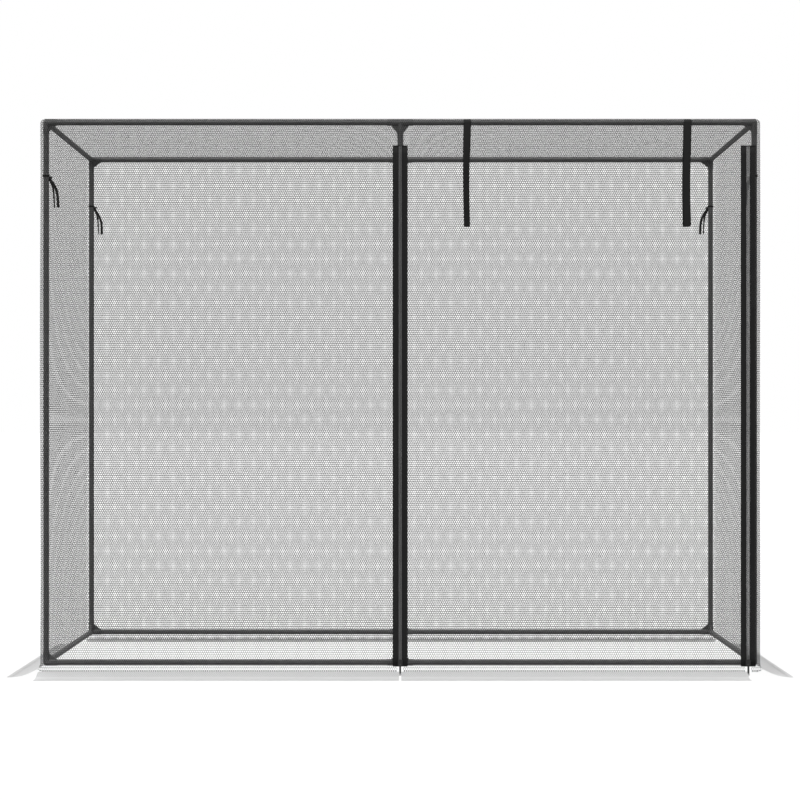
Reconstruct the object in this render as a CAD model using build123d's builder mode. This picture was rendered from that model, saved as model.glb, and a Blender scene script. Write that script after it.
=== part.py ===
"""Walk-in net cage: a box of steel tubes in moulded push-fit fittings, covered with fine knitted net.

Right-handed frame in millimetres: X to the right, Y to the back, Z up.
The origin is on the ground under the middle of the cage. The front, with its two zips, faces -Y.
"""

import os
from itertools import combinations
from math import asin, degrees

from build123d import *

# Overall frame: outside to outside of the tubes, standing clear of the ground
FRAME_WIDTH = 2400.0
FRAME_DEPTH = 1200.0
FRAME_HEIGHT = 1834.0
GROUND_GAP = 40.0  # ground to the underside of the bottom rails

# Steel tube
TUBE_OD = 19.0
TUBE_WALL = 1.0

# Moulded fittings
FITTING_OD = 21.0
SPIGOT_PLAY = 0.05  # on the radius, inside the tube
SPIGOT_LENGTH = 30.0
CORNER_ARM = 38.0  # from the meeting point of the tubes to the lip of the arm
CENTRE_ARM = 44.0
LIP_CHAMFER = 0.6
WEB_THICKNESS = 6.0
CORNER_WEB = {"level": 25.0, "upright": 20.0}  # how far a web runs along each arm
CENTRE_WEB = {"level": 20.0, "upright": 27.0}

# Net cover
NET_THICKNESS = 0.6
SIDE_GAP = 10.0  # outside of the frame to the middle of the side nets
FRONT_GAP = 8.0  # outside of the frame to the middle of the front and back nets
ROOF_GAP = 2.0  # top of the frame to the middle of the roof net
SIDE_HEM = 37.0  # height of the lower edge of the side nets
FRONT_HEM = 24.0  # and of the front and back nets
SEAM = 0.1  # two neighbouring nets stop this far from each other

# Ground skirts: an arc that comes down tangent to the ground, then a flat edge
SKIRT_THICKNESS = 1.5
SKIRT_REACH = 121.0  # frame's outside to the skirt's outer edge
SIDE_FLARE_RADIUS = 170.0
FRONT_FLARE_RADIUS = 256.0
FLARE_START = 8.5  # where the arc begins, out from the frame
FLARE_END = 110.0  # where it meets the ground
CORNER_GAP = 1.0  # between a front net and the end of a side skirt
FRONT_SKIRT_OVERHANG = 4.5  # past the middle of the side net
SLIT_WIDTH = 10.0  # between the two front skirts, under the centre zip

# Zips
ZIP_RIGHT_X = 1168.0
ZIP_BOTTOM = 37.0
ZIP_TOP = 1786.0
ZIP_HALF_WIDTH = 25.0
COIL_HALF_WIDTH = 6.5
COIL_GAP = 1.1  # half the gap between the two coils
COIL_THICKNESS = 3.0
TAPE_THICKNESS = 0.8

# Zip slider and its pull
SLIDER_WIDTH = 15.6
SLIDER_LENGTH = 24.0
SLIDER_ROUND = 4.5
PLATE_THICKNESS = 2.0
PLATE_PLAY = 0.3
FLANGE = 1.0
FLANGE_PLAY = 0.4
BRIDGE_WIDTH = 1.6
BRIDGE_LENGTH = 7.0
EAR_THICKNESS = 1.2
EAR_PLAY = 0.1
EAR_RADIUS = 1.9
PIN_RADIUS = 0.8
PIN_PLAY = 0.07
PIN_RISE = 6.0  # pin's height above the slider's lower end
PIN_REACH = 2.0  # pin's distance in front of the outer plate
NECK_WIDTH = 3.0
EYE_RADIUS = 1.7
PULL_THICKNESS = 2.2
PULL_WIDTH = 6.5
PULL_TIP_WIDTH = 8.0
PULL_LENGTH = 36.0  # pin to tip
PULL_TIP_LENGTH = 7.0
PULL_SHOULDER = 5.0  # pin to the start of the full width

# Roll-up straps
STRAP_XS = {"left": 223.5, "right": 966.0}
STRAP_WIDTH = 25.0
STRAP_THICKNESS = 1.0
STRAP_BOTTOM = 1515.0
STRAP_PLAY = 0.3
OUTER_STRAP_STANDOFF = 1.6  # middle of the front net to the middle of an outer strap

# Post ties
TIE_HEIGHT = 1685.0
TIE_WIDTH = 9.0
TIE_THICKNESS = 1.0
TIE_PLAY = 0.2
KNOT_SIZE = 12.0
TAIL_DROP = 112.0
TAIL_REACHES = {"broad": 25.0, "edgewise": 12.5}

# Worked out from the above
POST_X = (FRAME_WIDTH - TUBE_OD) / 2
POST_Y = (FRAME_DEPTH - TUBE_OD) / 2
LOW_Z = GROUND_GAP + TUBE_OD / 2
HIGH_Z = GROUND_GAP + FRAME_HEIGHT - TUBE_OD / 2
SIDE_NET_X = FRAME_WIDTH / 2 + SIDE_GAP
FRONT_NET_Y = FRAME_DEPTH / 2 + FRONT_GAP
ROOF_NET_Z = GROUND_GAP + FRAME_HEIGHT + ROOF_GAP
HALF_NET = NET_THICKNESS / 2

UP, DOWN = Vector(0, 0, 1), Vector(0, 0, -1)
RIGHT, LEFT = Vector(1, 0, 0), Vector(-1, 0, 0)
BACKWARD, FORWARD = Vector(0, 1, 0), Vector(0, -1, 0)

SIDES = {"left": -1, "right": 1}
ENDS = {"front": -1, "back": 1}
LEVELS = {"bottom": LOW_Z, "top": HIGH_Z}


def save(piece, label):
    """Label a finished piece and write it to its own file."""
    piece.part.label = label
    export_step(piece.part, f"parts/{label}.step")


def tube(label, start, end):
    """Round steel tube between the lips of two fittings, given by its axis."""
    with BuildPart() as piece:
        with BuildSketch(Plane(origin=start, z_dir=end - start)):
            Circle(TUBE_OD / 2)
            Circle(TUBE_OD / 2 - TUBE_WALL, mode=Mode.SUBTRACT)
        extrude(amount=(end - start).length)
    save(piece, label)


def between_webs(arm):
    """Direction square to an arm and half way between two webs, where the arm's seam line starts."""
    return Vector(arm.Y + arm.Z, arm.Z + arm.X, arm.X + arm.Y)


def fitting(label, middle, arms, arm_length, web):
    """Moulded fitting: arms in line with the tubes, spigots that go inside them, and webs in the corners."""
    radius = FITTING_OD / 2
    web_root = radius - WEB_THICKNESS / 4
    corners = [(first, second) for first, second in combinations(arms, 2) if first != -second]
    is_outer_corner = len(corners) == len(arms)  # no arm runs straight on into another
    with BuildPart() as piece:
        if is_outer_corner:
            with Locations(middle):
                Sphere(radius)
        for arm in arms:
            with BuildSketch(Plane(origin=middle, x_dir=between_webs(arm), z_dir=arm)):
                Circle(radius)
            extrude(amount=arm_length)
            lip = piece.faces().sort_by(Axis(middle, arm))[-1]
            chamfer(lip.edges(), LIP_CHAMFER)
            with BuildSketch(Plane(origin=middle + arm * arm_length, z_dir=arm)):
                Circle(TUBE_OD / 2 - TUBE_WALL - SPIGOT_PLAY)
            extrude(amount=SPIGOT_LENGTH)
        for first, second in corners:
            across, along = (radius + web["level" if arm.Z == 0 else "upright"] for arm in (first, second))
            with BuildSketch(Plane(origin=middle, x_dir=first, z_dir=first.cross(second))):
                with BuildLine():
                    Polyline((across, web_root), (across, 0), (0, 0), (0, along), (web_root, along))
                    Line((web_root, along), (across, web_root))
                make_face()
            extrude(amount=WEB_THICKNESS / 2, both=True)
    save(piece, label)


def slab(label, *boxes):
    """Flat cloth panel or tape, as one or more boxes given by opposite corners."""
    with BuildPart() as piece:
        for low, high in boxes:
            low, high = Vector(*low), Vector(*high)
            with Locations((low + high) / 2):
                Box(*(high - low))
    save(piece, label)


def skirt(label, outward, radius, start, length):
    """Ground skirt: the flare's section, drawn outward and up, carried along the frame."""
    sweep = degrees(asin((FLARE_END - FLARE_START) / radius))
    crown = (FLARE_END, radius)
    with BuildPart() as piece:
        with BuildSketch(Plane(origin=start, x_dir=outward, z_dir=outward.cross(UP))):
            with BuildLine():
                under = CenterArc(crown, radius, 270 - sweep, sweep)
                over = CenterArc(crown, radius - SKIRT_THICKNESS, 270 - sweep, sweep)
                Polyline(under @ 1, (SKIRT_REACH, 0), (SKIRT_REACH, SKIRT_THICKNESS), over @ 1)
                Line(under @ 0, over @ 0)
            make_face()
        extrude(amount=length)
    save(piece, label)


def slider(label, middle_x):
    """Zip slider: two plates with turned-in edges, a bridge between the coils, and ears with a pin."""
    coil_face = FRONT_NET_Y + COIL_THICKNESS / 2 + PLATE_PLAY
    tape_face = FRONT_NET_Y + TAPE_THICKNESS / 2 + FLANGE_PLAY
    middle_z = ZIP_BOTTOM + SLIDER_LENGTH / 2
    pin_z = ZIP_BOTTOM + PIN_RISE
    plate_front = coil_face + PLATE_THICKNESS
    behind = 2 * FRONT_NET_Y  # mirrors a distance about the net's middle plane
    edge_x = SLIDER_WIDTH / 2 - FLANGE / 2
    with BuildPart() as piece:
        for face, turned_in, way in (
            (coil_face, tape_face, 1),
            (behind - coil_face, behind - tape_face, -1),
        ):
            with BuildSketch(Plane.XZ.offset(face)):
                with Locations((middle_x, middle_z)):
                    RectangleRounded(SLIDER_WIDTH, SLIDER_LENGTH, SLIDER_ROUND)
            extrude(amount=way * PLATE_THICKNESS)
            with BuildSketch(Plane.XZ.offset(turned_in)):
                with Locations((middle_x - edge_x, middle_z), (middle_x + edge_x, middle_z)):
                    Rectangle(FLANGE, SLIDER_LENGTH - 2 * SLIDER_ROUND)
            extrude(amount=way * (coil_face - tape_face + FLANGE / 2))
        outline = piece.edges().filter_by(Plane.XZ).group_by(Axis.Y)
        fillet(outline[0] + outline[-1], FLANGE / 2)
        with BuildSketch(Plane.XZ.offset(behind - coil_face)):
            with Locations((middle_x, ZIP_BOTTOM + BRIDGE_LENGTH / 2)):
                Rectangle(BRIDGE_WIDTH, BRIDGE_LENGTH)
        extrude(amount=2 * coil_face - behind)
        ear_x = NECK_WIDTH / 2 + EAR_PLAY
        for way in (-1, 1):
            with BuildSketch(Plane.YZ.offset(middle_x + way * ear_x)):
                with Locations((-plate_front - PIN_REACH, pin_z)):
                    Circle(EAR_RADIUS)
                with Locations((-plate_front - PIN_REACH / 2 + FLANGE / 4, pin_z)):
                    Rectangle(PIN_REACH + FLANGE / 2, 2 * EAR_RADIUS)
            extrude(amount=way * EAR_THICKNESS)
        with BuildSketch(Plane.YZ.offset(middle_x - ear_x)):
            with Locations((-plate_front - PIN_REACH, pin_z)):
                Circle(PIN_RADIUS)
        extrude(amount=2 * ear_x)
    save(piece, label)


def pull(label, middle_x):
    """Zip pull: an eye on the slider's pin, a narrow neck, a flat tab and a broader rounded tip."""
    pin_y = FRONT_NET_Y + COIL_THICKNESS / 2 + PLATE_PLAY + PLATE_THICKNESS + PIN_REACH
    pin_z = ZIP_BOTTOM + PIN_RISE
    tab_length = PULL_LENGTH - PULL_SHOULDER
    with BuildPart() as piece:
        with BuildSketch(Plane.XZ.offset(pin_y - PULL_THICKNESS / 2)):
            with Locations((middle_x, pin_z - PULL_SHOULDER)):
                Rectangle(NECK_WIDTH, 2 * PULL_SHOULDER)
            with Locations((middle_x, pin_z - PULL_SHOULDER - tab_length / 2)):
                RectangleRounded(PULL_WIDTH, tab_length, PULL_WIDTH / 4)
            with Locations((middle_x, pin_z - PULL_LENGTH + PULL_TIP_LENGTH / 2)):
                RectangleRounded(PULL_TIP_WIDTH, PULL_TIP_LENGTH, PULL_TIP_WIDTH / 4)
        extrude(amount=PULL_THICKNESS)
        with BuildSketch(Plane.YZ.offset(middle_x - NECK_WIDTH / 2)):
            with Locations((-pin_y, pin_z)):
                Circle(EYE_RADIUS)
        extrude(amount=NECK_WIDTH)
        with BuildSketch(Plane.YZ.offset(middle_x - NECK_WIDTH / 2)):
            with Locations((-pin_y, pin_z)):
                Circle(PIN_RADIUS + PIN_PLAY)
        extrude(amount=NECK_WIDTH, mode=Mode.SUBTRACT)
    save(piece, label)


def outer_strap(label, middle_x):
    """Webbing strap hanging in front of the door from the roof's front edge."""
    top = ROOF_NET_Z - HALF_NET - SEAM
    with BuildPart() as piece:
        with BuildSketch(Plane.XZ.offset(FRONT_NET_Y + OUTER_STRAP_STANDOFF - STRAP_THICKNESS / 2)):
            with Locations((middle_x, (top + STRAP_BOTTOM) / 2)):
                Rectangle(STRAP_WIDTH, top - STRAP_BOTTOM)
        extrude(amount=STRAP_THICKNESS)
        fillet(piece.edges().filter_by(Axis.Y).group_by(Axis.Z)[0], STRAP_WIDTH / 8)
    save(piece, label)


def inner_strap(label, middle_x):
    """Webbing strap laid over the top front rail and hanging inside the door."""
    inside = TUBE_OD / 2 + STRAP_PLAY
    outside = inside + STRAP_THICKNESS
    with BuildPart() as piece:
        with BuildSketch(Plane.YZ.offset(middle_x - STRAP_WIDTH / 2)):
            with BuildLine():
                under = CenterArc((-POST_Y, HIGH_Z), inside, 0, 180)
                over = CenterArc((-POST_Y, HIGH_Z), outside, 0, 180)
                Line(under @ 1, over @ 1)
                Polyline(
                    under @ 0, (-POST_Y + inside, STRAP_BOTTOM), (-POST_Y + outside, STRAP_BOTTOM), over @ 0
                )
            make_face()
        extrude(amount=STRAP_WIDTH)
    save(piece, label)


def tail_line(side, reach):
    """Middle line of a tie's loose tail, from the knot inwards and down: a quarter ellipse in X and Z."""
    start_x = side * (POST_X - TUBE_OD / 2 - KNOT_SIZE / 2)
    return EllipticalCenterArc(
        (start_x, TIE_HEIGHT - TAIL_DROP), reach, TAIL_DROP, start_angle=0 if side < 0 else 90
    )


def post_ties(label):
    """Cloth ties round the four corner posts: a band, a knot on the inner side and two hanging tails."""
    band_inside = TUBE_OD / 2 + TIE_PLAY
    band_foot = Plane.XY.offset(TIE_HEIGHT - TIE_WIDTH / 2)
    with BuildPart() as piece:
        for side in SIDES.values():
            for end in ENDS.values():
                with BuildSketch(band_foot):
                    with Locations((side * POST_X, end * POST_Y)):
                        Circle(band_inside + TIE_THICKNESS)
                        Circle(band_inside, mode=Mode.SUBTRACT)
                extrude(amount=TIE_WIDTH)
                knot_x = side * (POST_X - band_inside - KNOT_SIZE / 2)
                with Locations((knot_x, end * POST_Y, TIE_HEIGHT)):
                    Box(KNOT_SIZE, KNOT_SIZE, TIE_WIDTH)
                for form, reach in TAIL_REACHES.items():
                    broad = form == "broad"
                    across = TIE_THICKNESS if broad else TIE_WIDTH
                    with BuildSketch(Plane.XZ.offset(-end * POST_Y - across / 2)):
                        with BuildLine():
                            line = tail_line(side, reach)
                        trace(line_width=TIE_WIDTH if broad else TIE_THICKNESS)
                    extrude(amount=across)
    save(piece, label)


os.makedirs("parts", exist_ok=True)

# Steel frame: fittings, posts, rails across the width, rails across the depth
for level, z in LEVELS.items():
    upright = UP if level == "bottom" else DOWN
    for end, y_way in ENDS.items():
        inward = BACKWARD if end == "front" else FORWARD
        for side, x_way in SIDES.items():
            along = RIGHT if side == "left" else LEFT
            arms = [along, inward, upright]
            corner = Vector(x_way * POST_X, y_way * POST_Y, z)
            fitting(f"fitting_{level}_{end}_{side}", corner, arms, CORNER_ARM, CORNER_WEB)
            tube(
                f"rail_{level}_{end}_{side}",
                corner + along * CORNER_ARM,
                Vector(x_way * CENTRE_ARM, y_way * POST_Y, z),
            )
        roof_arm = [inward] if level == "top" else []
        arms = [LEFT, RIGHT, *roof_arm, upright]
        fitting(f"fitting_{level}_{end}_centre", Vector(0, y_way * POST_Y, z), arms, CENTRE_ARM, CENTRE_WEB)
    for side, x_way in SIDES.items():
        front = Vector(x_way * POST_X, -POST_Y + CORNER_ARM, z)
        tube(f"rail_{level}_{side}", front, Vector(front.X, -front.Y, z))

tube("rail_roof_centre", Vector(0, -POST_Y + CENTRE_ARM, HIGH_Z), Vector(0, POST_Y - CENTRE_ARM, HIGH_Z))

for end, y_way in ENDS.items():
    for place, x, arm in (
        ("left", -POST_X, CORNER_ARM), ("centre", 0, CENTRE_ARM), ("right", POST_X, CORNER_ARM)
    ):
        foot = Vector(x, y_way * POST_Y, LOW_Z + arm)
        tube(f"post_{end}_{place}", foot, Vector(foot.X, foot.Y, HIGH_Z - arm))

# Net cover
net_top = ROOF_NET_Z - HALF_NET - SEAM
side_edge = FRONT_NET_Y - HALF_NET - SEAM
width_edge = SIDE_NET_X + HALF_NET
front_face, front_back = -FRONT_NET_Y - HALF_NET, -FRONT_NET_Y + HALF_NET
slab(
    "net_roof",
    (
        (-width_edge, -FRONT_NET_Y - HALF_NET, ROOF_NET_Z - HALF_NET),
        (width_edge, FRONT_NET_Y + HALF_NET, ROOF_NET_Z + HALF_NET),
    ),
)
slab("net_back", ((-width_edge, -front_back, FRONT_HEM), (width_edge, -front_face, net_top)))
slab("net_left", ((-width_edge, -side_edge, SIDE_HEM), (-SIDE_NET_X + HALF_NET, side_edge, net_top)))
slab(
    "net_right",
    ((SIDE_NET_X - HALF_NET, -side_edge, SIDE_HEM), (width_edge, side_edge, net_top)),
    ((ZIP_RIGHT_X + ZIP_HALF_WIDTH, front_face, FRONT_HEM), (width_edge, front_back, ZIP_TOP)),
)
slab(
    "net_front_fixed",
    ((-width_edge, front_face, FRONT_HEM), (-ZIP_HALF_WIDTH, front_back, ZIP_TOP)),
)
slab("net_front_header", ((-width_edge, front_face, ZIP_TOP + SEAM), (width_edge, front_back, net_top)))
slab(
    "net_door",
    ((ZIP_HALF_WIDTH, front_face, FRONT_HEM), (ZIP_RIGHT_X - ZIP_HALF_WIDTH, front_back, ZIP_TOP)),
)

# Ground skirts
side_skirt_end = FRONT_NET_Y - CORNER_GAP
for side, outward in (("left", LEFT), ("right", RIGHT)):
    start = outward * (FRAME_WIDTH / 2) - outward.cross(UP) * side_skirt_end
    skirt(f"skirt_{side}", outward, SIDE_FLARE_RADIUS, start, 2 * side_skirt_end)
skirt_end = SIDE_NET_X + FRONT_SKIRT_OVERHANG
door_skirt_end = ZIP_RIGHT_X - SLIT_WIDTH / 2
for label, outward, low_x, high_x in (
    ("skirt_back", BACKWARD, -skirt_end, skirt_end),
    ("skirt_front_fixed", FORWARD, -skirt_end, -SLIT_WIDTH / 2),
    ("skirt_door", FORWARD, SLIT_WIDTH / 2, door_skirt_end),
):
    start_x = low_x if outward is BACKWARD else high_x
    start = Vector(start_x, outward.Y * FRAME_DEPTH / 2, 0)
    skirt(label, outward, FRONT_FLARE_RADIUS, start, high_x - low_x)

# Zips: one tape and one coil on the fixed side, one of each on the door, and the slider with its pull
for place, middle_x, door_way in (("centre", 0.0, 1), ("right", ZIP_RIGHT_X, -1)):
    for cloth, way in (("fixed", -door_way), ("door", door_way)):
        for kind, inner, outer, thickness in (
            ("coil", COIL_GAP, COIL_HALF_WIDTH, COIL_THICKNESS),
            ("tape", COIL_HALF_WIDTH, ZIP_HALF_WIDTH, TAPE_THICKNESS),
        ):
            near, far = sorted((middle_x + way * inner, middle_x + way * outer))
            slab(
                f"zip_{place}_{kind}_{cloth}",
                (
                    (near, -FRONT_NET_Y - thickness / 2, ZIP_BOTTOM),
                    (far, -FRONT_NET_Y + thickness / 2, ZIP_TOP),
                ),
            )
    slider(f"zip_{place}_slider", middle_x)
    pull(f"zip_{place}_pull", middle_x)

# Straps and ties
for side, middle_x in STRAP_XS.items():
    outer_strap(f"strap_outer_{side}", middle_x)
    inner_strap(f"strap_inner_{side}", middle_x)
post_ties("post_ties")
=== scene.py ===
# %% [markdown]
# # A walk-in net cage
#
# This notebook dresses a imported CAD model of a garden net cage: a box of dark steel tube under a fine
# black net, with a door between two zips and pale cloth skirts lying on the ground. The CAD model holds
# every size. Blender adds what cloth, thread and finish look like.

import bmesh
import bpy
import numpy as np
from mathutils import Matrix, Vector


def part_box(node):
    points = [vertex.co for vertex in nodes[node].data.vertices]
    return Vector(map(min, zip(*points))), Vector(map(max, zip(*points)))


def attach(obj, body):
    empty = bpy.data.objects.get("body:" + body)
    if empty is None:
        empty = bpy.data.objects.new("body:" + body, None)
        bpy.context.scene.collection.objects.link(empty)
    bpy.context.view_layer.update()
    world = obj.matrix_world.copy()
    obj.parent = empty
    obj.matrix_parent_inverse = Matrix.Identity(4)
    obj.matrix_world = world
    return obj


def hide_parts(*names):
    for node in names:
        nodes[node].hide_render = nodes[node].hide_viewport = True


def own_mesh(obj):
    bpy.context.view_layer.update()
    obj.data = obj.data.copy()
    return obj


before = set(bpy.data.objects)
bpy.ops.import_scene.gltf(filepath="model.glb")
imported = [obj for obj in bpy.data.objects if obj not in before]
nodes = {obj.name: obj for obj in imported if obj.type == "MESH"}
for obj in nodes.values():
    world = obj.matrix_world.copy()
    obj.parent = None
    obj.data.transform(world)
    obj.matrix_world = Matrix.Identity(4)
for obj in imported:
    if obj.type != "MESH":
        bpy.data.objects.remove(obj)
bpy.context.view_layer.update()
MM = 0.001
ROOT = "cover_and_frame"

# %% [markdown]
# ## Camera
#
# The cage is looked at from straight in front, from the height of a camera on a tripod and from about
# eight metres away, so a long lens is right: the front looks square and the back wall is only a little
# smaller. The camera is level, and the small shift slides the picture without tilting it, so upright
# posts stay upright.

# %% Camera
lens_mm, sensor_mm = 110.1, 36.0
camera_data = bpy.data.cameras.new("camera")
camera_data.lens = lens_mm
camera_data.sensor_width = sensor_mm
camera_data.shift_x = -0.0082
camera_data.shift_y = 0.0244
camera_data.clip_end = 200.0
camera = bpy.data.objects.new("camera", camera_data)
camera.location = (0.0214, -8.82, 0.866)
camera.rotation_euler = (np.pi / 2, 0.0, 0.0)
bpy.context.scene.collection.objects.link(camera)
bpy.context.scene.camera = camera
print("lens", lens_mm, "mm, eye height", camera.location.z, "m")

# %% [markdown]
# ## Two small helpers for materials
#
# Colours are picked as sRGB hex values, the way a paint or yarn chart gives them, and Blender's shaders
# want linear light, so one function converts them. A second function adds a node to a material, sets its
# sockets and links them, which keeps each material below short enough to read.


# %% Colour and node helpers
def linear(hex_value):
    """sRGB hex to linear light: c / 12.92 in the darkest part, ((c + 0.055) / 1.055) ** 2.4 above it."""
    c = np.array([int(hex_value[i : i + 2], 16) for i in (1, 3, 5)]) / 255.0
    rgb = np.where(c <= 0.04045, c / 12.92, ((c + 0.055) / 1.055) ** 2.4)
    return (*rgb.tolist(), 1.0)


CHOICES = {"Math": "operation", "Mix": "data_type", "UVMap": "uv_map"}


def add(material, kind, *first, **sockets):
    """Adds one node. kind is its type after ShaderNode; a word after a dot is its operation, data type or
    UV map. Values fill its inputs from the first on. A named value has _ for a space, or is i and the
    input's place in the list. A value that is an output, or a node for its first output, is linked."""
    kind, _, choice = kind.partition(".")
    node = material.node_tree.nodes.new("ShaderNode" + kind)
    if choice:
        setattr(node, CHOICES[kind], choice)
    for key, value in [*enumerate(first), *sockets.items()]:
        if isinstance(key, str):
            key = int(key[1:]) if key[1:].isdigit() else key.replace("_", " ")
        if isinstance(value, (bpy.types.Node, bpy.types.NodeSocket)):
            link(material, value, node.inputs[key])
        else:
            node.inputs[key].default_value = value
    return node


def link(material, source, target):
    """Joins an output, or a node's first output, to an input."""
    if isinstance(source, bpy.types.Node):
        source = source.outputs[0]
    material.node_tree.links.new(source, target)


def start(name, slot_colour, roughness, **shader):
    """A new material with one Principled shader. slot_colour is its hex colour."""
    material = bpy.data.materials.new(name)
    material.use_nodes = True
    material.node_tree.nodes.clear()
    surface = add(material, "BsdfPrincipled", Base_Color=linear(slot_colour), Roughness=roughness)
    for key, value in shader.items():
        surface.inputs[key.replace("_", " ")].default_value = value
    output = add(material, "OutputMaterial", Surface=surface)
    return material, surface, output


# %% [markdown]
# ## Finishes of the hard parts
#
# The tubes are steel with a charcoal powder coat: tiny plastic grains melted into a skin, which dries
# with a faint orange-peel ripple and a satin sheen. The fittings are polypropylene of nearly the same
# grey, moulded against a spark-textured tool, so they are duller and have a fine even grain. The sliders
# are zinc castings under black enamel, smooth and glossy. The pulls are moulded nylon with a pale grip.


# %% Powder-coated steel
def powder_coat():
    """Colour drifts a little between two charcoals; bumps 1.2 mm across are the coat's orange peel."""
    material, surface, _ = start("powder_coated_steel", "#545454", 0.42, IOR=1.5)
    place = add(material, "TexCoord").outputs["Object"]
    drift = add(material, "TexNoise", Vector=place, Scale=9.0, Detail=3.0)
    tone = add(material, "Mix.RGBA", i0=drift, i6=linear("#4b4b4b"), i7=linear("#5d5d5d")).outputs[2]
    link(material, tone, surface.inputs["Base Color"])
    peel = add(material, "TexNoise", Vector=place, Scale=1 / (1.2 * MM), Detail=2.0)
    rough = add(material, "MapRange", Value=drift, To_Min=0.34, To_Max=0.5)
    link(material, rough, surface.inputs["Roughness"])
    bump = add(material, "Bump", Height=peel, Strength=0.35, Distance=0.08 * MM)
    link(material, bump, surface.inputs["Normal"])
    return material


# %% Moulded polypropylene
def moulded_plastic(name, colour, worn, grain_mm):
    """Two tones of one plastic, the lighter one where a slow noise says it is rubbed, and a fine grain."""
    material, surface, _ = start(name, colour, 0.55, IOR=1.49)
    place = add(material, "TexCoord").outputs["Object"]
    rubbed = add(material, "TexNoise", Vector=place, Scale=28.0, Detail=4.0)
    patch = add(material, "MapRange", Value=rubbed, From_Min=0.45, From_Max=0.75)
    tone = add(material, "Mix.RGBA", i0=patch, i6=linear(colour), i7=linear(worn)).outputs[2]
    link(material, tone, surface.inputs["Base Color"])
    grain = add(material, "TexNoise", Vector=place, Scale=1 / (grain_mm * MM), Detail=1.0)
    bump = add(material, "Bump", Height=grain, Strength=0.5, Distance=0.1 * MM)
    link(material, bump, surface.inputs["Normal"])
    rough = add(material, "MapRange", Value=grain, To_Min=0.42, To_Max=0.66)
    link(material, rough, surface.inputs["Roughness"])
    return material, surface, tone, place


# %% Pull with a pale grip
def pull_plastic():
    """The same moulded finish in nylon, with a pale rubber grip over-moulded on the pull's lower end."""
    material, surface, tone, place = moulded_plastic("moulded_nylon_pull", "#2a2a2a", "#363636", 0.5)
    height = add(material, "SeparateXYZ", Vector=place).outputs[2]
    low, high = 13.5 * MM, 14.5 * MM
    dark = add(material, "MapRange", Value=height, From_Min=low, From_Max=high)
    grip = add(material, "Mix.RGBA", i0=dark, i6=linear("#b9b9b9"), i7=tone).outputs[2]
    link(material, grip, surface.inputs["Base Color"])
    return material


# %% Enamelled zinc
def enamel():
    """Black stoving enamel over a zinc casting: glossy, with faint flow marks about 3 mm across."""
    material, surface, _ = start("enamelled_zinc", "#1b1b1b", 0.34, IOR=1.52, Coat_Weight=0.15)
    place = add(material, "TexCoord").outputs["Object"]
    flow = add(material, "TexNoise", Vector=place, Scale=1 / (3 * MM), Detail=2.0)
    tone = add(material, "Mix.RGBA", i0=flow, i6=linear("#151515"), i7=linear("#262626")).outputs[2]
    link(material, tone, surface.inputs["Base Color"])
    bump = add(material, "Bump", Height=flow, Strength=0.2, Distance=0.1 * MM)
    link(material, bump, surface.inputs["Normal"])
    return material


steel = powder_coat()
fitting_plastic = moulded_plastic("moulded_polypropylene", "#505050", "#606060", 0.6)[0]
slider_enamel = enamel()
pull_nylon = pull_plastic()
print("hard finishes:", [m.name for m in (steel, fitting_plastic, slider_enamel, pull_nylon)])

# %% [markdown]
# ## The net
#
# The net is warp-knitted from black polyethylene yarn. Knitting gives rows of six-sided holes, each row
# shifted half a hole from the last, and where two holes stand side by side the yarn is looped double and
# is a little wider. Six hundred thousand holes are far too many to model, so the mesh is a smooth sheet
# and the material cuts the holes: it works out how far each point is from the border between two
# neighbouring holes, calls it yarn if that is near, and lets light through elsewhere.
# The cloth's own UV map is in metres, so the holes keep their size on every panel and bend.

# %% Knitted polyethylene net
HOLE_PITCH = 7.26 * MM
YARN_WIDTH = 1.07 * MM  # the yarn that zigzags across
LOOP_WIDTH = 1.12 * MM  # the loops that join one zigzag to the next
YARN_THICKNESS = 0.5 * MM
FLATTEN = 0.5  # pulled sideways, the holes lie flatter than a true hexagon
HEM_V = 22.6 * MM  # on the front and back nets, the row of knots that holds them to their skirts
KNOT_WIDTH = 3.9 * MM
OPEN_V = 26.6 * MM  # and the row above it, which the sewing has pulled open
OPEN_WIDTH = 3.4 * MM


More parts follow.
